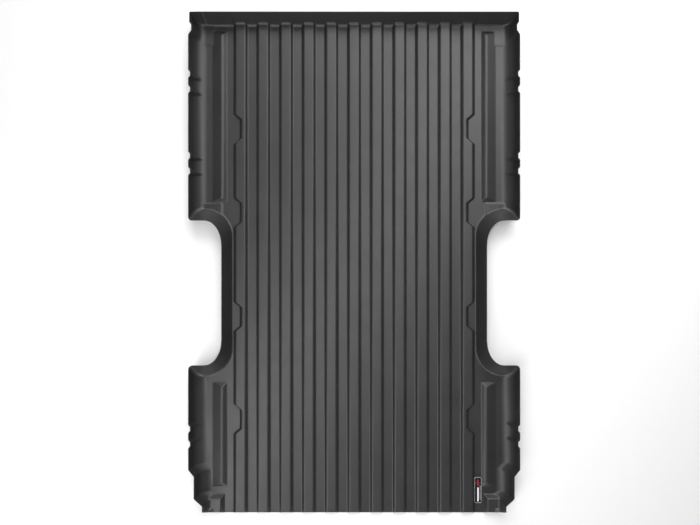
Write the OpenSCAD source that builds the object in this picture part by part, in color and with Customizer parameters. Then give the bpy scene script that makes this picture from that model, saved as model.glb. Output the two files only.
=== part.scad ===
// Pickup truck bed liner: one flexible moulded mat with raised edges, ribs that follow the bed
// corrugations, cut-outs for the wheel arches, and a small badge glued to its floor.
// The frame stands on the underside: +Z up, +Y towards the cab, the tailgate end at -Y.

/* [Overall] */
// Length of the liner, from the tailgate end to the outside of the cab-end lip
liner_length = 2480; // [2000:10:2600]
// Half the overall width, over the side rims
rim_half_width = 808; // [800:1:815]
// Overall height
liner_height = 100; // [80:1:130]
// Thickness of the moulded skin
skin = 4; // [3:0.5:5]

/* [Floor ribs] */
// Number of lengthwise ribs, an odd number
rib_count = 11; // [7:2:11]
// Distance between rib centres
rib_pitch = 114; // [100:1:114]
// Rib width at half height
rib_width = 58; // [45:1:60]
// Rib height above the floor skin
rib_height = 16; // [10:1:18]
// Draft of the rib walls, measured from the floor
rib_wall_angle = 65; // [55:1:80]

/* [Bolt pockets] */
// Places along the length where the outermost ribs step inward
pocket_centres = [690, 270, -252, -767]; // [-1100:1:1100]
// Length of a pocket over its sloping ends
pocket_length = 145; // [100:5:170]
// Depth of a pocket
pocket_depth = 30; // [15:1:35]
// Length of each sloping end
pocket_ramp = 25; // [10:1:40]

/* [Side beads] */
// Where the bead rises from the floor on its inner side
bead_inner = 643; // [640:1:660]
// Height of the beads
bead_height = 14; // [8:1:18]
// Width of the steep inner slope
bead_inner_run = 14; // [8:1:20]
// Width of the crest
bead_crest = 11; // [4:1:16]
// Width of the gentle outer slope
bead_outer_run = 44; // [30:1:48]
// Length of the hipped ends
bead_hip = 22; // [10:1:40]
// Rear end of the front bead
bead_front_from = 325; // [300:1:400]
// Front end of the front bead
bead_front_to = 1180; // [1100:1:1184]
// Rear end of the rear bead
bead_rear_from = -1107; // [-1115:1:-1000]
// Front end of the rear bead
bead_rear_to = -585; // [-700:1:-570]

/* [Side flanges] */
// Radius of the cove between floor and flange
cove_radius = 62; // [40:1:64]
// Draft of the flange above the cove, measured from the floor
flange_angle = 84; // [80:0.5:88]
// How far the first pillar step moves the flange inward
pillar_step_1 = 27; // [15:1:35]
// How far both pillar steps together move the flange inward
pillar_step_2 = 67; // [50:1:75]
// Where the first pillar step begins
pillar_start_1 = -975; // [-1000:1:-900]
// Where the second pillar step begins
pillar_start_2 = -1130; // [-1140:1:-1100]
// Lengthwise run of the first pillar step
pillar_run_1 = 47; // [30:1:70]
// Lengthwise run of the second pillar step
pillar_run_2 = 38; // [30:1:50]

/* [Flange flutes] */
// Middles of the pairs of flutes
flute_pair_centres = [900, 501, -828]; // [-900:1:1000]
// Distance between the two flutes of a pair
flute_spacing = 75; // [60:1:90]
// Radius of a flute
flute_radius = 32; // [20:1:40]
// Depth of a flute at the rim
flute_depth = 9; // [4:1:14]
// Place of the large hollow beside the front corner
corner_hollow_y = 1162; // [1140:1:1180]
// Radius of the large hollow
corner_hollow_radius = 84; // [60:1:100]
// Depth of the large hollow at the rim
corner_hollow_depth = 15; // [8:1:20]

/* [Cab-end lip] */
// Draft of the cab-end lip, measured from the floor
lip_angle = 77; // [65:1:82]

/* [Wheel arches] */
// Half the floor's width between the wheel arches
arch_base_half_width = 615; // [613:1:620]
// Half the opening between the arch walls at the rim
arch_rim_half_width = 643; // [635:1:650]
// Rear end of the arch opening at the floor
arch_base_rear = -552; // [-560:1:-545]
// Front end of the arch opening at the floor
arch_base_front = 293; // [286:1:298]
// Rear end of the arch opening at the rim
arch_rim_rear = -484; // [-500:1:-470]
// Front end of the arch opening at the rim
arch_rim_front = 225; // [210:1:240]
// Corner radius at the floor, across
arch_base_corner_x = 141; // [110:1:145]
// Corner radius at the floor, along
arch_base_corner_y = 141; // [110:1:145]
// Corner radius at the rim, across
arch_rim_corner_x = 88; // [60:1:100]
// Corner radius at the rim, along
arch_rim_corner_y = 126; // [90:1:135]

/* [Rear corner pads] */
// Inner edge of the raised pad at the floor
pad_inner = 652; // [652:1:665]
// Front edge of the raised pad at the floor
pad_front_y = -1146; // [-1160:1:-1140]
// Height of the pad above the floor skin
pad_height = 26; // [16:1:30]
// Run of the pad's sloping sides
pad_run = 15; // [8:1:20]

/* [Badge] */
// Width of the badge plate
badge_width = 37; // [30:1:37]
// Length of the badge plate
badge_length = 132; // [120:1:140]
// Corner radius of the badge plate
badge_corner = 9; // [4:1:14]
// Centre of the badge on the floor, across
badge_x = 623.5; // [622:0.5:625]
// Centre of the badge on the floor, along
badge_y = -1126; // [-1150:1:-1100]
// Thickness of the adhesive pad
badge_pad_thickness = 0.6; // [0.4:0.1:1]
// Thickness of the badge plate
badge_plate_thickness = 1.8; // [1:0.1:3]
// Height of the trim line, emblem and bars above the plate
badge_relief = 0.6; // [0.4:0.1:1]
// Width of the trim line round the plate
badge_trim_width = 1.6; // [1:0.1:3]

/* [Hidden] */

rear_edge = -liner_length / 2;
front_rim = liner_length / 2 - skin / sin(lip_angle);
floor_z = skin;
wall_rise = liner_height - floor_z;
above = 25;                 // how far cutting shapes reach past the rim
below = 10;                 // how far cutting shapes reach under the floor
far_out = 900;              // a width outside the whole liner
lip_base_y = front_rim - wall_rise / tan(lip_angle);
rib_reach = [rear_edge - 2 * below, front_rim - below];
rear_rake = 45;             // how far the raked tailgate cut leans forward over the height
arc_steps = 14;
corner_steps = 9;
rubber = [0.16, 0.16, 0.165];

inner_rim = rim_half_width - skin / sin(flange_angle);
cove_rise = cove_radius * (1 - cos(flange_angle));
cove_start = inner_rim - cove_radius * sin(flange_angle) - (wall_rise - cove_rise) / tan(flange_angle);
pillar_steps = [pillar_step_1, pillar_step_2];
pillar_starts = [pillar_start_1, pillar_start_2];
pillar_runs = [pillar_run_1, pillar_run_2];
bead_front_span = [bead_front_from, bead_front_to];
bead_rear_span = [bead_rear_from, bead_rear_to];
arch_end_angle = atan2(wall_rise, arch_base_front - arch_rim_front);

badge_size = [badge_width, badge_length];
badge_centre = [badge_x, badge_y];
badge_z = floor_z;
plate_z = badge_z + badge_pad_thickness;
relief_z = plate_z + badge_plate_thickness;

function polar(c, r, a) = [c[0] + r * cos(a), c[1] + r * sin(a)];
function mirror_points(points) = [for (i = [len(points) - 1:-1:0]) [-points[i][0], points[i][1]]];

// Outline, across by up, of the space inside the flanges, moved out from the top skin by "out"
// and moved in towards the middle by "inset".
function flange_right(out, inset) =
    let (c = [cove_start - inset, floor_z + cove_radius], r = cove_radius + out,
         tip = polar(c, r, flange_angle - 90), rise = liner_height + above - tip[1])
    concat([for (i = [0:arc_steps]) polar(c, r, -90 + flange_angle * i / arc_steps)],
           [[tip[0] + rise / tan(flange_angle), tip[1] + rise]]);

module inside_flanges(out, inset, y0, y1) {
    side = flange_right(out, inset);
    translate([0, y1, 0]) rotate([90, 0, 0])
        linear_extrude(y1 - y0) polygon(concat(side, mirror_points(side)));
}

// Wedge in the corner of a pillar step: the flange crosses it at an angle.
module pillar_wedge(out, step) {
    overlap = 1;
    x1 = inner_rim + skin - (step == 0 ? 0 : pillar_steps[step - 1]);
    x0 = inner_rim - pillar_steps[step];
    y1 = pillar_starts[step];
    y0 = y1 - pillar_runs[step];
    slant = atan2(y1 - y0, x1 - x0);
    reach = x1 + 6 * below;
    translate([0, -out / cos(slant), -below])
        linear_extrude(liner_height + above + 2 * below)
            polygon([[x0 - overlap, y0], [reach, y1 + (reach - x1) * tan(slant)], [reach, y0]]);
}

// The tray space between the flanges and the cab-end lip.
module tray_space(out) {
    lip_shift = out / sin(lip_angle);
    top = liner_height + above;
    lip_top = lip_base_y + lip_shift + (top - floor_z) / tan(lip_angle);
    lip_low = lip_base_y + lip_shift - (below + floor_z) / tan(lip_angle);
    bottom_y = rear_edge - 2 * below;
    intersection() {
        difference() {
            union() {
                inside_flanges(out, pillar_steps[1], bottom_y, front_rim + above);
                inside_flanges(out, pillar_steps[0],
                               pillar_starts[1] - pillar_runs[1] - out, front_rim + above);
                inside_flanges(out, 0,
                               pillar_starts[0] - pillar_runs[0] - out, front_rim + above);
            }
            for (side = [0, 1], step = [0, 1]) mirror([side, 0, 0]) pillar_wedge(out, step);
        }
        rotate([90, 0, 90])
            translate([0, 0, -far_out])
                linear_extrude(2 * far_out)
                    polygon([[bottom_y - below, -below], [lip_low, -below], [lip_top, top],
                             [bottom_y - below, top]]);
    }
}

// Straight rib, shrunk by "out" so that the skin keeps its thickness.
module rib(out) {
    run = rib_height / tan(rib_wall_angle);
    draw_in = out / sin(rib_wall_angle);
    low = (floor_z + below) / tan(rib_wall_angle);
    top_half = rib_width / 2 - run / 2 - draw_in + out / tan(rib_wall_angle);
    base_half = rib_width / 2 + run / 2 - draw_in;
    translate([0, rib_reach[1], 0]) rotate([90, 0, 0])
        linear_extrude(rib_reach[1] - rib_reach[0])
            polygon([[-base_half - low, -below], [base_half + low, -below],
                     [top_half, floor_z + rib_height - out],
                     [-top_half, floor_z + rib_height - out]]);
}

// Space cut back into the outer side of an outermost rib.
module bolt_pocket(out) {
    side = rib_pitch * (rib_count - 1) / 2 + rib_width / 2;
    outer = side + below;
    inner = side - pocket_depth - out;
    half = pocket_length / 2 + out / 2;
    flare = below * pocket_ramp / pocket_depth;
    translate([0, 0, floor_z - out])
        linear_extrude(rib_height + above)
            polygon([[outer, -half - flare], [inner, -half + pocket_ramp],
                     [inner, half - pocket_ramp], [outer, half + flare]]);
}

// Long bead with a steep inner side, a gentle outer side and hipped ends.
module bead(out, span) {
    inner_slope = atan2(bead_height, bead_inner_run);
    outer_slope = atan2(bead_height, bead_outer_run);
    hip_slope = atan2(bead_height, bead_hip);
    x0 = bead_inner + out / sin(inner_slope);
    x3 = bead_inner + bead_inner_run + bead_crest + bead_outer_run - out / sin(outer_slope);
    y0 = span[0] + out / sin(hip_slope);
    y1 = span[1] - out / sin(hip_slope);
    drop = floor_z + below;
    top = floor_z + bead_height - out;
    rise = top - floor_z;
    intersection() {
        translate([0, span[1] + far_out, 0]) rotate([90, 0, 0])
            linear_extrude(span[1] - span[0] + 2 * far_out)
                polygon([[x0 - drop / tan(inner_slope), -below],
                         [x0 + rise / tan(inner_slope), top],
                         [x3 - rise / tan(outer_slope), top],
                         [x3 + drop / tan(outer_slope), -below]]);
        rotate([90, 0, 90])
            linear_extrude(far_out)
                polygon([[y0 - drop / tan(hip_slope), -below],
                         [y0 + rise / tan(hip_slope), top],
                         [y1 - rise / tan(hip_slope), top],
                         [y1 + drop / tan(hip_slope), -below]]);
    }
}

// Raised pad in a rear corner.
module corner_pad(out) {
    slope = atan2(pad_height, pad_run);
    shift = out / sin(slope);
    drop = (floor_z + below) / tan(slope);
    top = floor_z + pad_height - out;
    rise = (top - floor_z) / tan(slope);
    intersection() {
        translate([0, pad_front_y, 0]) rotate([90, 0, 0])
            translate([0, 0, -above])
                linear_extrude(-rear_edge + pad_front_y + 2 * above + below)
                    polygon([[pad_inner + shift - drop, -below], [pad_inner + shift + rise, top],
                             [far_out, top], [far_out, -below]]);
        rotate([90, 0, 90])
            linear_extrude(far_out)
                polygon([[rear_edge - above, -below], [rear_edge - above, top],
                         [pad_front_y - shift - rise, top], [pad_front_y - shift + drop, -below]]);
    }
}

// Round column standing in a flange: a flute or the hollow beside the front corner.
module flange_column(out, y, radius, depth) {
    translate([inner_rim - depth + radius, y, -below])
        cylinder(h = liner_height + above + below, r = radius - out, $fn = 96);
}

// Plan outline of a wheel arch at a share of the wall's rise, shrunk by "out".
function blend(a, b, share) = a + (b - a) * share;
function arch_ring(out, share) =
    let (end_shift = out / sin(arch_end_angle),
         x0 = blend(arch_base_half_width, arch_rim_half_width, share) + out,
         y0 = blend(arch_base_rear, arch_rim_rear, share) + end_shift,
         y1 = blend(arch_base_front, arch_rim_front, share) - end_shift,
         a = blend(arch_base_corner_x, arch_rim_corner_x, share) - out,
         b = blend(arch_base_corner_y, arch_rim_corner_y, share) - out)
    concat([for (i = [0:corner_steps]) let (t = 90 + 90 * i / corner_steps)
                [x0 + a + a * cos(t), y1 - b + b * sin(t)]],
           [for (i = [0:corner_steps]) let (t = 180 + 90 * i / corner_steps)
                [x0 + a + a * cos(t), y0 + b + b * sin(t)]],
           [[far_out, y0], [far_out, y1]]);

// The wheel arch itself: the liner's arch walls lie against it.
module wheel_arch(out) {
    shares = [-below / wall_rise, 1 + above / wall_rise];
    rings = [for (s = shares) arch_ring(out, s)];
    count = len(rings[0]);
    points = [for (k = [0, 1], p = rings[k]) [p[0], p[1], floor_z + shares[k] * wall_rise]];
    next = [for (i = [0:count - 1]) (i + 1) % count];
    lower = [for (i = [0:count - 1]) [i, count + i, next[i]]];
    upper = [for (i = [0:count - 1]) [next[i], count + i, count + next[i]]];
    floor_cap = [for (i = [1:count - 2]) [0, i, i + 1]];
    rim_cap = [for (i = [1:count - 2]) [count, count + i + 1, count + i]];
    polyhedron(points, concat(lower, upper, floor_cap, rim_cap));
}

// Everything above the liner, measured "out" from its top skin.
module open_space(out) {
    difference() {
        tray_space(out);
        for (i = [0:rib_count - 1])
            translate([(i - (rib_count - 1) / 2) * rib_pitch, 0, 0])
                difference() {
                    rib(out);
                    if (i == 0 || i == rib_count - 1)
                        for (y = pocket_centres)
                            mirror([i == 0 ? 1 : 0, 0, 0])
                                translate([-rib_pitch * (rib_count - 1) / 2, y, 0])
                                    bolt_pocket(out);
                }
        for (side = [0, 1]) mirror([side, 0, 0]) {
            wheel_arch(out);
            bead(out, bead_front_span);
            bead(out, bead_rear_span);
            corner_pad(out);
            for (c = flute_pair_centres, s = [-0.5, 0.5])
                flange_column(out, c + s * flute_spacing, flute_radius, flute_depth);
            flange_column(out, corner_hollow_y, corner_hollow_radius, corner_hollow_depth);
        }
    }
}

// Block that trims the rims level and the tailgate end on one raked plane.
module trim_block() {
    lean = rear_rake / liner_height;
    rotate([90, 0, 90])
        translate([0, 0, -far_out])
            linear_extrude(2 * far_out)
                polygon([[rear_edge - below * lean, -below], [front_rim + above, -below],
                         [front_rim + above, liner_height],
                         [rear_edge + liner_height * lean, liner_height]]);
}

module liner_moulding() {
    color(rubber)
        difference() {
            intersection() {
                open_space(skin);
                trim_block();
            }
            open_space(0);
        }
}

// The badge is built up from the floor skin.
module rounded_outline(size, radius) {
    square([size[0] - 2 * radius, size[1]], center = true);
    square([size[0], size[1] - 2 * radius], center = true);
    for (s = [-1, 1], t = [-1, 1])
        translate([s * (size[0] / 2 - radius), t * (size[1] / 2 - radius)])
            circle(r = radius, $fn = 48);
}

module on_badge(z, offset_xy = [0, 0]) {
    translate([badge_centre[0] + offset_xy[0], badge_centre[1] + offset_xy[1], z]) children();
}

module badge_adhesive_pad() {
    margin = 1.5;
    color([0.75, 0.74, 0.70])
        on_badge(badge_z)
            linear_extrude(badge_pad_thickness)
                rounded_outline([badge_size[0] - 2 * margin, badge_size[1] - 2 * margin],
                                badge_corner - margin);
}

module badge_plate() {
    color([0.10, 0.10, 0.11])
        on_badge(plate_z)
            linear_extrude(badge_plate_thickness) rounded_outline(badge_size, badge_corner);
}

module badge_trim_line() {
    margin = 1.2;
    outer = [badge_size[0] - 2 * margin, badge_size[1] - 2 * margin];
    inner = [outer[0] - 2 * badge_trim_width, outer[1] - 2 * badge_trim_width];
    color([0.62, 0.63, 0.64])
        on_badge(relief_z)
            linear_extrude(badge_relief)
                difference() {
                    rounded_outline(outer, badge_corner - margin);
                    rounded_outline(inner, badge_corner - margin - badge_trim_width);
                }
}

// Plain four-sided lozenge.
module badge_lozenge() {
    half = [6.5, 20];
    color([0.62, 0.10, 0.16])
        on_badge(relief_z, [0, 36])
            linear_extrude(badge_relief)
                polygon([[half[0], 0], [0, half[1]], [-half[0], 0], [0, -half[1]]]);
}

module badge_bar() {
    color([0.92, 0.92, 0.92])
        on_badge(relief_z, [0, -22])
            linear_extrude(badge_relief) rounded_outline([7, 70], 3);
}

module badge_pinstripe() {
    color([0.50, 0.50, 0.51])
        on_badge(relief_z, [10.5, -12])
            linear_extrude(badge_relief) rounded_outline([2.4, 72], 1.1);
}

liner_moulding();
badge_adhesive_pad();
badge_plate();
badge_trim_line();
badge_lozenge();
badge_bar();
badge_pinstripe();
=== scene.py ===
# Truck bed liner: the moulded mat and its badge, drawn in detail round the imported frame.
import math

import bpy
import numpy as np
from mathutils import Matrix, Vector


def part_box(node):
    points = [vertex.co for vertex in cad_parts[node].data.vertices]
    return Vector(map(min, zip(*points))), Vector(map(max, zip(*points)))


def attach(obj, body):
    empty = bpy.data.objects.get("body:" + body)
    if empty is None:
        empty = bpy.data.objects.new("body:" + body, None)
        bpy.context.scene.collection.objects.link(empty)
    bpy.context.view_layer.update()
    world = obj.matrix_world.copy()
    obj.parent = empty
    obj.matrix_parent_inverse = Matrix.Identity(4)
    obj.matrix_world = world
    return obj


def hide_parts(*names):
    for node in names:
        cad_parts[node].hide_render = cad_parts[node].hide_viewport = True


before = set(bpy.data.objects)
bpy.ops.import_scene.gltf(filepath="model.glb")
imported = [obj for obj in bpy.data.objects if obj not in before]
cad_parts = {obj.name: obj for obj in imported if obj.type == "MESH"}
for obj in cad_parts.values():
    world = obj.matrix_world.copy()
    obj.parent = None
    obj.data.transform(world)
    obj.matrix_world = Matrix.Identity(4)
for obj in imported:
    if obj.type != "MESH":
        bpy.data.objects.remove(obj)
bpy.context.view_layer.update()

MM = 0.001
liner_low, liner_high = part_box("liner_moulding")

# ---------------------------------------------------------------- dimensions, in millimetres
LENGTH = (liner_high[1] - liner_low[1]) / MM
HEIGHT = (liner_high[2] - liner_low[2]) / MM
SKIN = 4.0
EDGE_ROUND = 2.2                      # how far the rounded edge stands past the last ring
RISE = HEIGHT - SKIN - EDGE_ROUND     # from the floor skin to the last ring of a wall

RIB_COUNT, RIB_PITCH, RIB_WIDTH, RIB_HEIGHT = 11, 114.0, 58.0, 16.0
RIB_ANGLE = math.radians(62)
RIB_FOOT_RADIUS, RIB_TOP_RADIUS = 9.0, 11.0

REAR_Y = -LENGTH / 2
REAR_RAKE = 0.45                      # lean of the trimmed tailgate end, per unit of height
SQUEEZE_FROM = REAR_Y + 62            # rows behind this follow the lean
LIP_ANGLE = math.radians(77)
LIP_FOOT_RADIUS = 14.0
FLANGE_ANGLE = math.radians(84)
COVE_RADIUS = 62.0
COVE_START = 738.0
ARCH_SIDE_ANGLE = math.radians(73.7)
ARCH_SIDE_RADIUS = 8.0
ARCH_END_ANGLE = math.radians(54.7)
ARCH_END_RADIUS = 12.0
ARCH_BASE_HALF = 615.0
ARCH_FRONT, ARCH_REAR = 293.0, -552.0
ARCH_CORNER_BASE, ARCH_CORNER_RIM = (141.0, 141.0), (88.0, 126.0)

POCKET_CENTRES = (690.0, 270.0, -252.0, -767.0)
POCKET_HALF, POCKET_RAMP, POCKET_DEPTH = 72.5, 25.0, 30.0

BEAD_FRONT, BEAD_REAR = (325.0, 1182.0), (-1107.0, -585.0)
BEAD_PROFILE = ((641.0, 0.0), (656.0, 12.0), (667.0, 14.0), (713.0, 0.0))
BEAD_HIP = 20.0

FLUTES = [c + s for c in (900.0, 501.0, -828.0) for s in (-37.5, 37.5)]
HOLLOW_Y, HOLLOW_HALF, HOLLOW_RAMP, HOLLOW_DEPTH = 1163.0, 40.0, 30.0, 14.5
HORN_Y, HORN_RUN, HORN_DEPTH = 1176.0, 20.0, 5.0
FRONT_DENT_START, FRONT_DENT_RUN = 0.5, 40.0           # heights over which they fade in
FLUTE_FOOT_HALF, FLUTE_WIDENING, FLUTE_RAMP, FLUTE_DEPTH = 9.0, 13.0, 11.0, 9.0
FLUTE_START, FLUTE_RUN = 1.5, 26.0
STEPS = ((-988.0, -1024.0, 27.0), (-1130.0, -1168.0, 40.0))
PAD_INNER, PAD_FRONT, PAD_RUN, PAD_HEIGHT = 652.0, -1146.0, 15.0, 26.0
KICK_X, KICK_Y, KICK_HEIGHT = 704.0, -1216.0, 11.0     # small facet at a pad's tailgate end
KICK_SIDE_SLOPE, KICK_FRONT_SLOPE = 0.55, 0.75
FRONT_LEDGE_X, FRONT_LEDGE_Y, FRONT_LEDGE_HEIGHT = 698.0, 1106.0, 1.8
BACK_LEDGE_X, BACK_LEDGE_Y, BACK_LEDGE_HEIGHT = 658.0, 322.0, 4.0
BACK_LEDGE_SIDE_RUN, LEDGE_RUN = 14.0, 8.0
LIP_CORNER_FOOT_RADIUS, LIP_CORNER_RIM_RADIUS = 8.0, 4.0
FRONT_ARCH_CORNER_RADIUS, REAR_ARCH_CORNER_RADIUS = 13.0, 17.0
BLEND_RADIUS = 3.0                    # where one wall or raised feature meets another

STRIP_X = 608.2                       # flat line between the outermost rib and the arch wall
VALLEY_X = RIB_PITCH * 4.5            # middle of the last valley

# Heights of the rings up every wall, closest together in the curved foot.
LEVELS = np.array([0, .12, .45, 1, 1.75, 2.7, 3.9, 5.6, 8, 11, 16, 21, 27, 34,
                   42, 51, 60, 69, 78, 85, 90, RISE])


# ---------------------------------------------------------------- profile helpers
def cove(rise, radius, angle):
    """Distance out from the start of a round foot that runs into a straight wall."""
    turn = radius * (1 - math.cos(angle))
    inside = np.sqrt(np.maximum(radius ** 2 - (radius - np.minimum(rise, turn)) ** 2, 0))
    return inside + np.maximum(rise - turn, 0) / math.tan(angle)


def foot_length(radius, angle):
    """How far a foot of this radius starts before the corner of floor and wall."""
    return radius * math.tan(angle / 2)


def tilt(rise, radius, angle):
    """Slope angle of the wall at a height."""
    return np.arccos(np.clip(1 - rise / radius, math.cos(angle), 1))


def ease(t):
    """Ramp from 0 to 1 that starts and ends level."""
    t = np.clip(t, 0, 1)
    return t * t * (3 - 2 * t)


def crisp(t):
    """Almost straight ramp from 0 to 1 with its ends slightly eased."""
    return 0.8 * np.clip(t, 0, 1) + 0.2 * ease(t)


def plateau(value, half, ramp):
    """1 inside, 0 outside, with eased sides."""
    return ease((half - np.abs(value)) / ramp)


def soft_max(a, b, radius):
    """Larger of two heights, with the crease between them rounded."""
    radius = np.maximum(np.minimum(radius, a + b), 1e-6)
    return np.maximum(a, b) + np.maximum(radius - np.abs(a - b), 0) ** 2 / (4 * radius)


def soft_min(a, b, radius):
    """Smaller of two heights, with the crease between them rounded."""
    return -(np.maximum(-a, -b) + np.maximum(radius - np.abs(a - b), 0) ** 2 / (4 * radius))


def rounded_steps(x, points, reach):
    """Height of a profile of straight lines, with its corners rounded over a reach."""
    xs, ys = zip(*points)
    shifts = np.linspace(-reach, reach, 13)
    weights = 1 - np.abs(shifts) / (reach * 1.08)
    total = sum(w * np.interp(x + s, xs, ys, left=0, right=0) for s, w in zip(shifts, weights))
    return total / weights.sum()


def rib_side():
    """(distance from mid wall, height) from the valley up to the top of a rib."""
    half_run = RIB_HEIGHT / math.tan(RIB_ANGLE) / 2
    foot, brow = foot_length(RIB_FOOT_RADIUS, RIB_ANGLE), foot_length(RIB_TOP_RADIUS, RIB_ANGLE)
    turns = np.linspace(0, RIB_ANGLE, 6)
    low = [(-half_run - foot + RIB_FOOT_RADIUS * math.sin(a), RIB_FOOT_RADIUS * (1 - math.cos(a)))
           for a in turns]
    high = [(half_run + brow - RIB_TOP_RADIUS * math.sin(a),
             RIB_HEIGHT - RIB_TOP_RADIUS * (1 - math.cos(a))) for a in turns[::-1]]
    return low + high


RIB_SIDE = rib_side()


def rib_columns(centre):
    """Columns across one rib: x, height, and +1 on its right wall."""
    left = [(centre - RIB_WIDTH / 2 + u, h, 0) for u, h in RIB_SIDE]
    right = [(centre + RIB_WIDTH / 2 - u, h, 1) for u, h in RIB_SIDE[::-1]]
    return left + right


# ---------------------------------------------------------------- mesh sheet
class Sheet:
    """Top surface of the moulding, gathered from grids and the strips between them."""

    def __init__(self):
        self.points, self.faces = [], []

    def add(self, x, y, z):
        first = len(self.points)
        self.points.extend(zip(x.ravel(), y.ravel(), z.ravel()))
        return first + np.arange(x.size).reshape(x.shape)

    def quads(self, ids, turned=None):
        """Faces of a grid whose rows run rearward and whose columns run to the right."""
        for r in range(ids.shape[0] - 1):
            for c in range(ids.shape[1] - 1):
                a, b, d, e = ids[r, c], ids[r + 1, c], ids[r + 1, c + 1], ids[r, c + 1]
                if turned is not None and turned(r, c):
                    self.faces += [(a, b, e), (b, d, e)]
                else:
                    self.faces += [(a, b, d), (a, d, e)]

    def zip_lines(self, left, right):
        """Triangles between two columns that run rearward."""
        i = j = 0
        while i < len(left) - 1 or j < len(right) - 1:
            step_left = j == len(right) - 1 or (
                i < len(left) - 1 and self.points[left[i + 1]][1] > self.points[right[j + 1]][1])
            if step_left:
                self.faces.append((left[i], left[i + 1], right[j]))
                i += 1
            else:
                self.faces.append((left[i], right[j + 1], right[j]))
                j += 1


def lip_rows(base):
    """Rows up the cab-end lip, rim first, over columns with these base heights."""
    scale = (RISE - base) / RISE
    rise = LEVELS[::-1, None] * scale[None, :]
    start = LIP_Y - foot_length(LIP_FOOT_RADIUS, LIP_ANGLE)
    y = start + base[None, :] / math.tan(LIP_ANGLE) + cove(rise, LIP_FOOT_RADIUS, LIP_ANGLE)
    return y, base[None, :] + rise


# Foot of the lip, placed so that its rim meets the frame's front end.
LIP_RIM_Y = LENGTH / 2 - SKIN / math.sin(LIP_ANGLE)
LIP_Y = LIP_RIM_Y - (HEIGHT - SKIN) / math.tan(LIP_ANGLE)


def rake_rear(y, z):
    """Squeeze the rows near the tailgate so that the last one lies on the raked trim plane."""
    end = REAR_Y + EDGE_ROUND + REAR_RAKE * z[-1]
    share = (end - SQUEEZE_FROM) / (REAR_Y - SQUEEZE_FROM)
    return np.where(y < SQUEEZE_FROM, SQUEEZE_FROM + (y - SQUEEZE_FROM) * share, y)


def stations(start, end, gaps):
    """Row places from start back to end; gaps is a list of (front, rear, spacing)."""
    marks = {start, end}
    for front, rear, spacing in gaps:
        count = max(1, round((front - rear) / spacing))
        marks.update(np.linspace(front, rear, count + 1).tolist())
    ordered = sorted((m for m in marks if end <= m <= start), reverse=True)
    kept = [ordered[0]]
    for m in ordered[1:]:
        if kept[-1] - m > 0.8:
            kept.append(m)
    kept[-1] = end
    return np.array(kept)


FLOOR_FRONT_Y = LIP_Y - foot_length(LIP_FOOT_RADIUS, LIP_ANGLE) - 3
PLAIN_ROWS = (FLOOR_FRONT_Y, REAR_Y + 12, 150.0)


def rib_block(sheet, columns, row_places, shift=None):
    """Grid over ribs: lip rows, then the given rows, then the raked end."""
    x = np.array([c[0] for c in columns])
    base = np.array([c[1] for c in columns])
    lip_y, lip_z = lip_rows(base)
    rows = np.append(row_places, REAR_Y)
    y = np.vstack([lip_y, np.repeat(rows[:, None], len(x), 1)])
    z = np.vstack([lip_z, np.repeat(base[None, :], len(rows), 0)])
    xx = np.repeat(x[None, :], len(y), 0)
    if shift is not None:
        xx = xx - shift(y) * np.array([c[2] for c in columns])[None, :]
    ids = sheet.add(xx, rake_rear(y, z), z)
    sheet.quads(ids)
    return ids


def pocket_shift(y):
    """How far the outermost rib's outer wall steps inward."""
    total = np.zeros_like(y)
    for centre in POCKET_CENTRES:
        outline = ((-POCKET_HALF, 0.0), (POCKET_RAMP - POCKET_HALF, POCKET_DEPTH),
                   (POCKET_HALF - POCKET_RAMP, POCKET_DEPTH), (POCKET_HALF, 0.0))
        total = total + rounded_steps(y - centre, outline, 5.0)
    return total


def bead_height(x, y):
    """Height of the side beads, with hipped ends."""
    across = rounded_steps(x, BEAD_PROFILE, 5.0)
    total = np.zeros_like(across)
    for low, high in (BEAD_FRONT, BEAD_REAR):
        along = np.minimum(y - low, high - y) * BEAD_PROFILE[2][1] / BEAD_HIP
        total = np.maximum(total, np.maximum(soft_min(across, np.maximum(along, 0), 3.0), 0))
    return np.where(across > 0, total, 0)


def pad_height(x, y):
    """Height of a tailgate corner pad and its facet."""
    across = (x - PAD_INNER) / PAD_RUN * PAD_HEIGHT
    along = (PAD_FRONT - y) / PAD_RUN * PAD_HEIGHT
    lowest = soft_min(soft_min(across, along, 5.0), PAD_HEIGHT + 0 * x, 5.0)
    kick = np.minimum((x - KICK_X) * KICK_SIDE_SLOPE, (KICK_Y - y) * KICK_FRONT_SLOPE)
    return np.maximum(lowest, 0) + np.clip(kick, 0, KICK_HEIGHT)


def ledge_height(x, y):
    """Low ledges beside the front bead's ends."""
    front = (FRONT_LEDGE_HEIGHT * ease((x - FRONT_LEDGE_X) / LEDGE_RUN)
             * ease((y - FRONT_LEDGE_Y) / LEDGE_RUN))
    behind = (BACK_LEDGE_HEIGHT * ease((x - BACK_LEDGE_X) / BACK_LEDGE_SIDE_RUN)
              * ease((BACK_LEDGE_Y - y) / LEDGE_RUN) * (y > 0))
    return front + behind


def flange_inset(y):
    """How far the flange has stepped inward towards the tailgate."""
    return sum(depth * crisp((start - y) / (start - end)) for start, end, depth in STEPS)


def flange_dent(y, rise):
    """Inward swell of the flutes and the hollow by the front corner."""
    share = rise / RISE
    swell = np.zeros_like(y)
    for centre in FLUTES:
        half = FLUTE_FOOT_HALF + FLUTE_WIDENING * share
        fade = ease((rise - FLUTE_START) / FLUTE_RUN)
        swell = swell + plateau(y - centre, half, FLUTE_RAMP) * FLUTE_DEPTH * fade
    hollow = plateau(y - HOLLOW_Y, HOLLOW_HALF, HOLLOW_RAMP) * HOLLOW_DEPTH
    horn = ease((y - HORN_Y) / HORN_RUN) * HORN_DEPTH
    return swell + np.maximum(hollow, horn) * ease((rise - FRONT_DENT_START) / FRONT_DENT_RUN)


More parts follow.
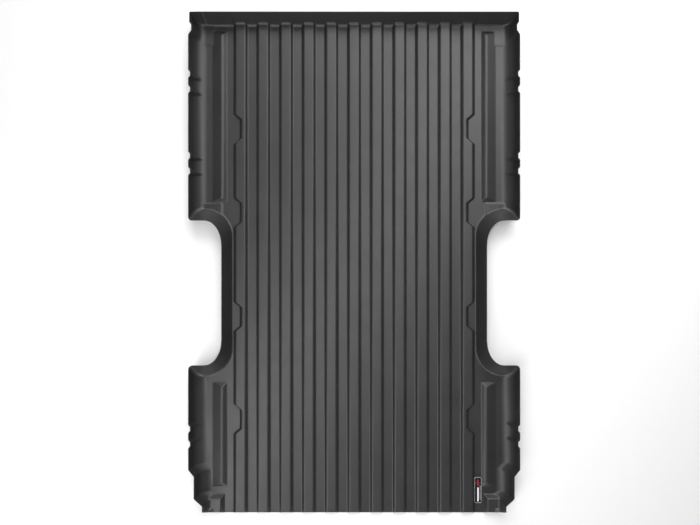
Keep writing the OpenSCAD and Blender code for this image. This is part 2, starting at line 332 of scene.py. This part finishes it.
def side_columns():
    """Columns of a side block: kind, x, and ring number up the wall."""
    arch_start = ARCH_BASE_HALF - foot_length(ARCH_SIDE_RADIUS, ARCH_SIDE_ANGLE)
    arch = [("arch", arch_start + cove(h, ARCH_SIDE_RADIUS, ARCH_SIDE_ANGLE), k)
            for k, h in enumerate(LEVELS)]
    floor = [("floor", x, 0) for x in (645, 648, 652, 656, 660, 664, 667, 670, 674, 679, 686, 694, 702,
                                        706, 710, 714, 718, 724, 731, 738)]
    flange = [("flange", COVE_START + cove(h, COVE_RADIUS, FLANGE_ANGLE), k)
              for k, h in enumerate(LEVELS)]
    return [("strip", STRIP_X, 0)] + arch + floor + flange


SIDE = side_columns()
SIDE_X = np.array([c[1] for c in SIDE], float)
SIDE_KIND = np.array([c[0] for c in SIDE])
SIDE_RING = np.array([c[2] for c in SIDE])
IS_FLANGE = SIDE_KIND == "flange"
ARCH_X = SIDE_X[SIDE_KIND == "arch"]
FLANGE_RISE = np.where(IS_FLANGE, LEVELS[SIDE_RING], 0.0)


def round_inside_corner(x, y, rows, facing, radii):
    """Round the plan of the corner between the flange and the wall whose rings are these rows.

    Ring k of the corner runs up column k and along row k; each ring gets its own arc."""
    first = len(SIDE) - len(LEVELS)
    old_x, old_y = x[rows, first:].copy(), facing * y[rows, first:]
    new_x, new_y = old_x.copy(), old_y.copy()
    for r in range(len(LEVELS)):
        for c in range(len(LEVELS)):
            ring = max(r, c)
            radius = radii[ring]
            corner_x, corner_y = old_x[ring, ring], old_y[ring, ring]
            u = max(0.0, 1 - (corner_x - old_x[r, c]) / radius)
            v = max(0.0, 1 - (corner_y - old_y[r, c]) / radius)
            if u > 0 and v > 0:
                new_x[r, c] = corner_x - radius + radius * u * math.sqrt(1 - v * v / 2)
                new_y[r, c] = corner_y - radius + radius * v * math.sqrt(1 - u * u / 2)
    x[rows, first:] = new_x
    y[rows, first:] = facing * new_y


def side_surface(y, wall_rise):
    """x and z of a side block's points, where another wall rises to wall_rise."""
    rise = np.repeat(FLANGE_RISE[None, :], len(y), 0)
    x = np.repeat(SIDE_X[None, :], len(y), 0)
    height = soft_max(rise, wall_rise, BLEND_RADIUS)
    inset = flange_inset(y)
    x = x - inset * np.clip((x - 645) / (COVE_START - 645), 0, 1)
    floor = soft_max(bead_height(x, y), ledge_height(x, y), 0.5)
    height = soft_max(height, np.maximum(floor, pad_height(x, y)), BLEND_RADIUS)
    slope = tilt(rise, COVE_RADIUS, FLANGE_ANGLE)
    dent = np.where(IS_FLANGE[None, :], flange_dent(y, rise), 0.0)
    lift = np.where(rise >= wall_rise, dent * np.cos(slope), 0.0)
    return x - dent * np.sin(slope), np.minimum(height + lift, RISE)


def arch_end_rows(sign):
    """Rows up the arch's front (+1) or rear (-1) wall, floor first."""
    base = ARCH_FRONT if sign > 0 else ARCH_REAR
    start = base + sign * foot_length(ARCH_END_RADIUS, ARCH_END_ANGLE)
    line = start - sign * cove(LEVELS, ARCH_END_RADIUS, ARCH_END_ANGLE)
    share = LEVELS / RISE
    across = ARCH_CORNER_BASE[0] + (ARCH_CORNER_RIM[0] - ARCH_CORNER_BASE[0]) * share
    along = ARCH_CORNER_BASE[1] + (ARCH_CORNER_RIM[1] - ARCH_CORNER_BASE[1]) * share
    y = np.zeros((len(LEVELS), len(SIDE)))
    rise = np.zeros_like(y)
    for k in range(len(LEVELS)):
        past = np.clip((ARCH_X[k] + across[k] - SIDE_X) / across[k], 0, 1)
        y[k] = line[k] - sign * along[k] * (1 - np.sqrt(1 - past ** 2))
        rise[k] = LEVELS[k]
        for j in range(len(LEVELS)):
            rise[k, 1 + j] = LEVELS[min(j, k)]
        rise[k, 0] = 0
    return y, rise


def side_block(sheet):
    """One side: lip, front bay, arch front wall, arch side, arch rear wall, rear bay."""
    columns = len(SIDE)
    lip_y, lip_rise = lip_rows(np.zeros(columns))
    front_y, front_rise = arch_end_rows(+1)
    rear_y, rear_rise = arch_end_rows(-1)
    fine = [(c + 26, c - 26, 3.5) for c in FLUTES]
    front_end = ARCH_FRONT + foot_length(ARCH_END_RADIUS, ARCH_END_ANGLE) + 3
    bay_front = stations(FLOOR_FRONT_Y, front_end, fine + [
        (FLOOR_FRONT_Y, front_end, 40.0), (1208, 1100, 4.0), (1112, 1104, 2.0),
        (352, front_end, 3.0)])
    rear_start = ARCH_REAR - foot_length(ARCH_END_RADIUS, ARCH_END_ANGLE) - 3
    bay_rear = stations(rear_start, REAR_Y + 4, fine + [
        (rear_start, REAR_Y + 4, 40.0), (-580, -612, 3.0), (-965, -1040, 4.0),
        (-1080, -1112, 3.0), (-1120, -1180, 2.5), (-1205, REAR_Y + 4, 3.0)])
    bay_rear = np.append(bay_rear, REAR_Y)

    def plain(rows):
        return np.repeat(rows[:, None], columns, 1), np.zeros((len(rows), columns))

    front_part = [(lip_y, lip_rise), plain(bay_front), (front_y, front_rise)]
    rear_part = [(rear_y[::-1], rear_rise[::-1]), plain(bay_rear)]
    grids = []
    for part in (front_part, rear_part):
        y = np.vstack([p[0] for p in part])
        wall = np.vstack([p[1] for p in part])
        x, z = side_surface(y, wall)
        grids.append([x, y, z, wall])
    grids[1][1] = rake_rear(grids[1][1], grids[1][2])
    # Rings of a corner count up from the floor, so the lip's and the rear wall's rows are reversed.
    lip_rings = np.arange(len(LEVELS))[::-1]
    arch_rings = len(LEVELS) + len(bay_front) + np.arange(len(LEVELS))
    taper = np.linspace(LIP_CORNER_FOOT_RADIUS, LIP_CORNER_RIM_RADIUS, len(LEVELS))
    front_radii = np.full(len(LEVELS), FRONT_ARCH_CORNER_RADIUS)
    rear_radii = np.full(len(LEVELS), REAR_ARCH_CORNER_RADIUS)
    round_inside_corner(grids[0][0], grids[0][1], lip_rings, 1, taper)
    round_inside_corner(grids[0][0], grids[0][1], arch_rings, -1, front_radii)
    round_inside_corner(grids[1][0], grids[1][1], lip_rings, 1, rear_radii)
    for grid, corner in ((grids[0], slice(-len(LEVELS), None)), (grids[1], slice(0, len(LEVELS)))):
        arch_columns = slice(0, 1 + len(LEVELS))
        grid[2][corner, arch_columns] = grid[3][corner, arch_columns]

    front_ids = sheet.add(*grids[0][:3])
    rear_ids = sheet.add(*grids[1][:3])
    first_flange = columns - len(LEVELS)
    lip_count, bay_count, last = len(LEVELS), len(bay_front), len(front_ids) - 1

    def front_turned(r, c):
        return c >= first_flange and r < lip_count

    def rear_turned(r, c):
        return (c >= first_flange or c < 1 + len(LEVELS)) and r < lip_count

    sheet.quads(front_ids, front_turned)
    sheet.quads(rear_ids, rear_turned)

    # The straight side wall of the arch joins the two parts.
    arch_columns = 1 + len(LEVELS)
    top_y, low_y = grids[0][1][last, :arch_columns], grids[1][1][0, :arch_columns]
    between = np.linspace(0, 1, 8)[1:-1, None]
    y = top_y[None, :] * (1 - between) + low_y[None, :] * between
    x = np.repeat(SIDE_X[None, :arch_columns], len(y), 0)
    z = np.repeat(grids[0][2][last:, :arch_columns], len(y), 0)
    middle = sheet.add(x, y, z)
    joined = np.vstack([front_ids[last:, :arch_columns], middle, rear_ids[:1, :arch_columns]])
    sheet.quads(joined)
    return np.concatenate([front_ids[:, 0], middle[:, 0], rear_ids[:, 0]])


def build_sheet():
    """Top surface of the whole moulding: middle, right side, and its mirror image."""
    sheet = Sheet()
    plain_rows = stations(PLAIN_ROWS[0], PLAIN_ROWS[1], [PLAIN_ROWS])
    inner = [(-VALLEY_X + 1, 0, 0)]
    for i in range(-(RIB_COUNT // 2) + 1, RIB_COUNT // 2):
        inner += rib_columns(i * RIB_PITCH)
    inner.append((VALLEY_X - 1, 0, 0))
    middle = rib_block(sheet, inner, plain_rows)

    outer = [(VALLEY_X + 1, 0, 0)] + rib_columns(RIB_PITCH * (RIB_COUNT // 2)) + [(STRIP_X - 0.8, 0, 0)]
    pocket_rows = []
    for c in POCKET_CENTRES:
        for s in (-1, 1):
            pocket_rows.append((c + s * 60 + 22, c + s * 60 - 22, 3.0))
    outer_rows = stations(PLAIN_ROWS[0], PLAIN_ROWS[1], [PLAIN_ROWS] + pocket_rows)
    rib_ids = rib_block(sheet, outer, outer_rows, pocket_shift)
    strip_line = side_block(sheet)
    sheet.zip_lines(rib_ids[:, -1], strip_line)

    # Mirror the right side, with its faces turned over.
    points = np.array(sheet.points)
    first = int(rib_ids[0, 0])
    side_points = points[first:] * (-1, 1, 1)
    offset = len(points) - first
    side_faces = [f for f in sheet.faces if min(f) >= first]
    sheet.points = np.vstack([points, side_points]).tolist()
    sheet.faces += [tuple(int(v) + offset for v in f[::-1]) for f in side_faces]
    sheet.zip_lines(middle[:, -1], rib_ids[:, 0])
    sheet.zip_lines(rib_ids[:, 0] + offset, middle[:, 0])
    return np.array(sheet.points), np.array(sheet.faces, dtype=np.int64)


def vertex_normals(points, faces):
    """Vertex normals weighted by face area, so that flat floors stay flat."""
    a, b, c = (points[faces[:, i]] for i in range(3))
    face_normals = np.cross(b - a, c - a)
    normals = np.zeros_like(points)
    for i in range(3):
        np.add.at(normals, faces[:, i], face_normals)
    length = np.linalg.norm(normals, axis=1)
    return normals / np.maximum(length, 1e-12)[:, None]


def boundary_edges(faces):
    """Directed edges that only one face uses."""
    edges = np.vstack([faces[:, [0, 1]], faces[:, [1, 2]], faces[:, [2, 0]]])
    seen = {(int(a), int(b)) for a, b in edges}
    return [(a, b) for a, b in seen if (b, a) not in seen]


def thicken(points, faces):
    """Give the sheet its thickness and a rounded edge; returns points, faces, edge face count."""
    normals = vertex_normals(points, faces)
    edges = boundary_edges(faces)
    outward = np.zeros_like(points)
    for a, b in edges:
        along = points[b] - points[a]
        side = np.cross(along, normals[a] + normals[b])
        side /= max(np.linalg.norm(side), 1e-9)
        outward[a] += side
        outward[b] += side
    rim = sorted({v for e in edges for v in e})
    length = np.linalg.norm(outward[rim], axis=1)
    outward[rim] /= length[:, None]
    count = len(points)
    underside = points - SKIN * normals
    rings = []
    ring_index = {v: i for i, v in enumerate(rim)}
    for turn in (math.pi * 0.2, math.pi * 0.5, math.pi * 0.8):
        centre = points[rim] - normals[rim] * SKIN / 2
        rings.append(centre + normals[rim] * SKIN / 2 * math.cos(turn)
                     + outward[rim] * EDGE_ROUND * math.sin(turn))
    all_points = np.vstack([points, underside] + rings)
    lower_faces = faces[:, ::-1] + count
    edge_faces = []
    for a, b in edges:
        chain_a = [a] + [2 * count + k * len(rim) + ring_index[a] for k in range(3)] + [a + count]
        chain_b = [b] + [2 * count + k * len(rim) + ring_index[b] for k in range(3)] + [b + count]
        for k in range(4):
            edge_faces.append((chain_a[k], chain_a[k + 1], chain_b[k]))
            edge_faces.append((chain_b[k], chain_a[k + 1], chain_b[k + 1]))
    return all_points, np.vstack([faces, lower_faces, np.array(edge_faces)]), len(edge_faces)


def make_mesh_object(name, points, faces, materials, face_materials=None):
    """Object from points in millimetres above the floor skin."""
    mesh = bpy.data.meshes.new(name)
    mesh.from_pydata((points * MM).tolist(), [], faces.tolist())
    for material in materials:
        mesh.materials.append(material)
    mesh.polygons.foreach_set("use_smooth", [True] * len(faces))
    if face_materials is not None:
        mesh.polygons.foreach_set("material_index", face_materials)
    mesh.update()
    mesh.normals_split_custom_set_from_vertices(vertex_normals(points, faces).tolist())
    piece = bpy.data.objects.new(name, mesh)
    bpy.context.scene.collection.objects.link(piece)
    return piece


# ---------------------------------------------------------------- materials
class Nodes:
    """Short way to wire a procedural material."""

    def __init__(self, name, colour, roughness):
        self.material = bpy.data.materials.new(name)
        self.material.use_nodes = True
        self.tree = self.material.node_tree
        self.shader = self.tree.nodes["Principled BSDF"]
        self.shader.inputs["Base Color"].default_value = (*colour, 1)
        self.shader.inputs["Roughness"].default_value = roughness
        self.place = self.tree.nodes.new("ShaderNodeTexCoord").outputs["Object"]

    def link(self, output, socket):
        self.tree.links.new(output, socket)

    def noise(self, scale, detail=2.0, stretch=(1, 1, 1)):
        """Noise in object space; scale is in cells per metre."""
        source = self.place
        if stretch != (1, 1, 1):
            mapping = self.tree.nodes.new("ShaderNodeMapping")
            mapping.inputs["Scale"].default_value = stretch
            self.link(self.place, mapping.inputs["Vector"])
            source = mapping.outputs["Vector"]
        node = self.tree.nodes.new("ShaderNodeTexNoise")
        node.inputs["Scale"].default_value = scale
        node.inputs["Detail"].default_value = detail
        self.link(source, node.inputs["Vector"])
        return node.outputs["Fac"]

    def cells(self, scale):
        node = self.tree.nodes.new("ShaderNodeTexVoronoi")
        node.feature = "SMOOTH_F1"
        node.inputs["Scale"].default_value = scale
        self.link(self.place, node.inputs["Vector"])
        return node.outputs["Distance"]

    def spread(self, factor, low, high):
        """A factor around one half, spread over a range of values."""
        node = self.tree.nodes.new("ShaderNodeMapRange")
        node.inputs["From Min"].default_value = 0.3
        node.inputs["From Max"].default_value = 0.7
        node.inputs["To Min"].default_value = low
        node.inputs["To Max"].default_value = high
        self.link(factor, node.inputs["Value"])
        return node.outputs["Result"]

    def two_tones(self, factor, low, high):
        node = self.tree.nodes.new("ShaderNodeValToRGB")
        node.color_ramp.elements[0].position = 0.32
        node.color_ramp.elements[1].position = 0.68
        node.color_ramp.elements[0].color = (*low, 1)
        node.color_ramp.elements[1].color = (*high, 1)
        self.link(factor, node.inputs["Fac"])
        return node.outputs["Color"]

    def bump(self, height, strength, distance, under=None):
        node = self.tree.nodes.new("ShaderNodeBump")
        node.inputs["Strength"].default_value = strength
        node.inputs["Distance"].default_value = distance
        self.link(height, node.inputs["Height"])
        if under is not None:
            self.link(under, node.inputs["Normal"])
        return node.outputs["Normal"]

    def set(self, socket, value):
        self.shader.inputs[socket].default_value = value

    def feed(self, socket, output):
        self.link(output, self.shader.inputs[socket])


def grey(value):
    """Very slightly cool grey."""
    return (value, value * 1.005, value * 1.02)


def rubber_material():
    """Satin moulded rubber: faint cloudiness and a fine pebbled grain."""
    n = Nodes("liner_rubber_satin", grey(0.020), 0.49)
    n.feed("Base Color", n.two_tones(n.noise(5.0, 4.0), grey(0.018), grey(0.022)))
    n.feed("Roughness", n.spread(n.noise(14.0, 3.0), 0.42, 0.47))
    grain = n.bump(n.cells(650.0), 0.25, 0.00012)
    n.feed("Normal", n.bump(n.noise(2600.0, 1.0), 0.12, 0.00005, grain))
    n.set("Specular IOR Level", 0.5)
    return n.material


def cut_edge_painted_shade_material():
    """Knife-trimmed edge: its darker colour is painted shade for the dark rolled rim; duller, with fine
    drag marks along the cut.
    """
    n = Nodes("liner_rubber_trimmed_painted_shade", grey(0.007), 0.7)
    # Near-black base colour: painted shade along the rolled rim of the sheet; the roughness and drag
    # marks are the cut's own finish.
    n.feed("Base Color", n.two_tones(n.noise(420.0, 3.0), grey(0.005), grey(0.009)))
    n.feed("Roughness", n.spread(n.noise(300.0), 0.62, 0.8))
    n.feed("Normal", n.bump(n.noise(900.0, 3.0, (1, 1, 4)), 0.4, 0.0002))
    return n.material


def underside_material():
    """Tool side of the moulding: duller, with a coarser matt grain."""
    n = Nodes("liner_rubber_underside", grey(0.016), 0.7)
    n.feed("Base Color", n.two_tones(n.noise(9.0, 4.0), grey(0.013), grey(0.019)))
    n.feed("Roughness", n.spread(n.noise(22.0), 0.66, 0.76))
    n.feed("Normal", n.bump(n.cells(320.0), 0.4, 0.00025))
    return n.material


def plastic_material(name, dark, light, roughness, coat=0.0, metallic=0.0):
    """Moulded or printed badge finish with slight unevenness and a fine texture."""
    n = Nodes(name, dark, roughness)
    n.feed("Base Color", n.two_tones(n.noise(160.0, 3.0), dark, light))
    n.feed("Roughness", n.spread(n.noise(420.0, 2.0), roughness - 0.04, roughness + 0.05))
    n.feed("Normal", n.bump(n.noise(2200.0, 2.0), 0.15, 0.00004))
    n.set("Coat Weight", coat)
    n.set("Metallic", metallic)
    return n.material


def foam_material():
    """Open foam of the adhesive pad."""
    n = Nodes("badge_foam", (0.55, 0.54, 0.50), 0.9)
    n.feed("Base Color", n.two_tones(n.noise(700.0), (0.46, 0.45, 0.41), (0.60, 0.59, 0.55)))
    n.feed("Normal", n.bump(n.cells(2400.0), 0.6, 0.0002))
    return n.material


# ---------------------------------------------------------------- the moulding
def place_piece(piece, node):
    """Ride on the root, in place of its CAD node."""
    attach(piece, "root")
    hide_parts(node)


def build_liner():
    """The moulding: rubber above, tool side below, and a trimmed edge darkened with painted shade."""
    sheet_points, sheet_faces = build_sheet()
    points, faces, edge_count = thicken(sheet_points, sheet_faces)
    points[:, 2] += SKIN
    points[:, 2] = np.maximum(points[:, 2], 0)
    kinds = np.zeros(len(faces), int)
    kinds[len(sheet_faces):2 * len(sheet_faces)] = 1
    kinds[-edge_count:] = 2
    finishes = [rubber_material(), underside_material(), cut_edge_painted_shade_material()]
    liner = make_mesh_object("liner", points, faces, finishes, kinds.tolist())
    place_piece(liner, "liner_moulding")


build_liner()


# ---------------------------------------------------------------- the badge
def rounded_outline(width, length, radius, steps=10):
    """Rounded rectangle as points, counter-clockwise, round its own centre."""
    points = []
    for quarter, (sx, sy) in enumerate(((1, 1), (-1, 1), (-1, -1), (1, -1))):
        centre = (sx * (width / 2 - radius), sy * (length / 2 - radius))
        for i in range(steps + 1):
            turn = math.pi / 2 * (quarter + i / steps)
            points.append((centre[0] + radius * math.cos(turn), centre[1] + radius * math.sin(turn)))
    return points


def lozenge_outline(width, length):
    """Four-pointed outline round its own centre."""
    return [(width / 2, 0), (0, length / 2), (-width / 2, 0), (0, -length / 2)]


def ring_at(centre, height, outline):
    """An outline's points round a centre, at a height."""
    return [(centre[0] + x, centre[1] + y, height) for x, y in outline]


def edge_steps(bevel, height):
    """(inset, height) up a rounded top edge."""
    turns = [math.pi / 2 * i / 4 for i in range(5)]
    return [(0, 0)] + [(bevel * (1 - math.cos(t)), height - bevel * (1 - math.sin(t))) for t in turns]


def build_solid(name, loops, holes=None):
    """Closed piece from loops of points, each (x, y, z) in millimetres; holes ring back down."""
    points = [p for loop in loops for p in loop]
    size = len(loops[0])
    faces = []
    for k in range(len(loops) - 1):
        for i in range(size):
            j = (i + 1) % size
            faces.append((k * size + i, k * size + j, (k + 1) * size + j, (k + 1) * size + i))
    if holes:
        last = (len(loops) - 1) * size
        for i in range(size):
            j = (i + 1) % size
            faces.append((last + i, last + j, j, i))
    else:
        faces.append(tuple(range(size))[::-1])
        faces.append(tuple(range((len(loops) - 1) * size, len(loops) * size)))
    mesh = bpy.data.meshes.new(name)
    mesh.from_pydata([(x * MM, y * MM, z * MM) for x, y, z in points], [], faces)
    mesh.polygons.foreach_set("use_smooth", [True] * len(faces))
    mesh.update()
    piece = bpy.data.objects.new(name, mesh)
    bpy.context.scene.collection.objects.link(piece)
    return piece


def build_badge():
    """Each badge piece fills its CAD node's box, with rounded edges."""
    pieces = (
        ("badge_foam_pad", "badge_adhesive_pad", "adhesive_foam", foam_material(), 0.15),
        ("badge_base", "badge_plate", "badge_black",
         plastic_material("badge_black_gloss", (0.010, 0.010, 0.012), (0.016, 0.016, 0.018),
                          0.26, 0.4), 0.7),
        ("badge_white_bar", "badge_bar", "badge_white",
         plastic_material("badge_white_enamel", (0.74, 0.74, 0.73), (0.82, 0.82, 0.81), 0.32, 0.3), 0.3),
        ("badge_fine_line", "badge_pinstripe", "badge_grey",
         plastic_material("badge_silver_print", (0.36, 0.37, 0.38), (0.46, 0.47, 0.48),
                          0.35, 0.2, 0.3), 0.3),
    )
    radii = {"badge_adhesive_pad": 7.5, "badge_plate": 9.0, "badge_bar": 3.0, "badge_pinstripe": 1.19}
    for name, node, slot, finish, bevel in pieces:
        low, high = (np.array(c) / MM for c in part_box(node))
        centre, size = (low + high) / 2, high - low
        loops = []
        for inset, rise in edge_steps(bevel, size[2]):
            outline = rounded_outline(size[0] - 2 * inset, size[1] - 2 * inset, radii[node] - inset)
            loops.append(ring_at(centre, low[2] + rise, outline))
        piece = build_solid(name, loops)
        piece.data.materials.append(finish)
        place_piece(piece, node)

    low, high = (np.array(c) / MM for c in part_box("badge_trim_line"))
    centre, size, rise = (low + high) / 2, high - low, high[2] - low[2]
    loops = []
    for inset, z in ((0, 0), (0, rise * 0.6), (0.25, rise), (1.35, rise), (1.6, rise * 0.6), (1.6, 0)):
        outline = rounded_outline(size[0] - 2 * inset, size[1] - 2 * inset, 7.8 - inset)
        loops.append(ring_at(centre, low[2] + z, outline))
    trim = build_solid("badge_border", loops, holes=True)
    trim.data.materials.append(plastic_material(
        "badge_silver_border", (0.50, 0.51, 0.52), (0.60, 0.61, 0.62), 0.3, 0.3, 0.4))
    place_piece(trim, "badge_trim_line")

    low, high = (np.array(c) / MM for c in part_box("badge_lozenge"))
    centre, size, rise = (low + high) / 2, high - low, high[2] - low[2]
    loops = []
    for inset, z in ((0, 0), (0, rise * 0.5), (0.22, rise * 0.85), (0.5, rise)):
        outline = lozenge_outline(size[0] - 2 * inset, size[1] - 4 * inset)
        loops.append(ring_at(centre, low[2] + z, outline))
    emblem = build_solid("badge_red_lozenge", loops)
    emblem.data.materials.append(plastic_material(
        "badge_red_enamel", (0.27, 0.014, 0.030), (0.33, 0.020, 0.040), 0.3, 0.5))
    place_piece(emblem, "badge_lozenge")


build_badge()


# ---------------------------------------------------------------- studio
def build_floor():
    """Plain pale floor that curves up into a backdrop far from the liner."""
    flat, radius, top = 7.0, 3.0, 9.0
    bend, sides = 16, 96
    profile = [(0.0, 0.0), (2.0, 0.0), (5.0, 0.0), (flat, 0.0)]
    profile += [(flat + radius * math.sin(t), radius * (1 - math.cos(t)))
                for t in (math.pi / 2 * (i + 1) / bend for i in range(bend))]
    profile.append((flat + radius, top))
    points = [(0, 0, 0)]
    for r, z in profile[1:]:
        points += [(r * math.cos(2 * math.pi * i / sides), r * math.sin(2 * math.pi * i / sides), z)
                   for i in range(sides)]
    faces = [(0, 1 + i, 1 + (i + 1) % sides) for i in range(sides)]
    for ring in range(len(profile) - 2):
        first = 1 + ring * sides
        for i in range(sides):
            j = (i + 1) % sides
            faces.append((first + i, first + sides + i, first + sides + j, first + j))
    mesh = bpy.data.meshes.new("studio_floor")
    mesh.from_pydata(points, [], faces)
    mesh.polygons.foreach_set("use_smooth", [True] * len(faces))
    n = Nodes("studio_floor_pale", (0.80, 0.80, 0.80), 0.95)
    n.set("Specular IOR Level", 0.1)
    mesh.materials.append(n.material)
    floor = bpy.data.objects.new("studio_floor", mesh)
    bpy.context.scene.collection.objects.link(floor)
    floor.location.z = -0.0005


def from_dome(elevation, azimuth, distance):
    """Place on a dome; azimuth 0 is over the cab end and 90 over the right side."""
    e, a = math.radians(elevation), math.radians(azimuth)
    return (distance * math.cos(e) * math.sin(a), distance * math.cos(e) * math.cos(a),
            distance * math.sin(e))


def soft_disc(name, elevation, azimuth, power, size=1.1, distance=3.6):
    """Round soft light on the dome, aimed at the liner."""
    light = bpy.data.lights.new(name, "AREA")
    light.shape = "DISK"
    light.size = size
    light.energy = power
    lamp = bpy.data.objects.new(name, light)
    place = Vector(from_dome(elevation, azimuth, distance))
    lamp.matrix_world = (Matrix.Translation(place)
                         @ (-place).to_track_quat("-Z", "Y").to_matrix().to_4x4())
    bpy.context.scene.collection.objects.link(lamp)


build_floor()
# An even arch of soft lights runs from over the right of the cab end, past the camera, to over
# the left of the tailgate; a large light over the cab end and two low ones fill in.
ARCH_AZIMUTH = 35
ARCH_POWER = 18
for tilt in range(-60, 61, 15):
    soft_disc(f"arch_{tilt}", 90 - tilt, ARCH_AZIMUTH, ARCH_POWER)
soft_disc("front", 45, 0, 200, size=3.0, distance=6.5)
soft_disc("front_low", 15, 0, 150, size=2.5, distance=6.5)
soft_disc("rear_low", 15, 180, 150, size=2.5, distance=6.5)

world = bpy.data.worlds.new("studio")
world.use_nodes = True
world.node_tree.nodes["Background"].inputs["Color"].default_value = (1, 1, 1, 1)
world.node_tree.nodes["Background"].inputs["Strength"].default_value = 0.0
bpy.context.scene.world = world
bpy.context.scene.view_settings.view_transform = "Standard"

# Camera straight above, a little off the frame's centre as the view is framed.
SENSOR = 36.0
CAMERA_HEIGHT = 2.704
CAMERA_SHIFT_X, CAMERA_SHIFT_Y = -0.00593, 0.0055
WIDTH_SEEN = 3.527                    # metres across the floor skin that fill the view
camera_data = bpy.data.cameras.new("camera")
camera_data.sensor_width = SENSOR
camera_data.lens = SENSOR * (CAMERA_HEIGHT - SKIN * MM) / WIDTH_SEEN
camera_data.shift_x = CAMERA_SHIFT_X
camera_data.shift_y = CAMERA_SHIFT_Y
camera = bpy.data.objects.new("camera", camera_data)
camera.location = (0, 0, CAMERA_HEIGHT)
bpy.context.scene.collection.objects.link(camera)
bpy.context.scene.camera = camera
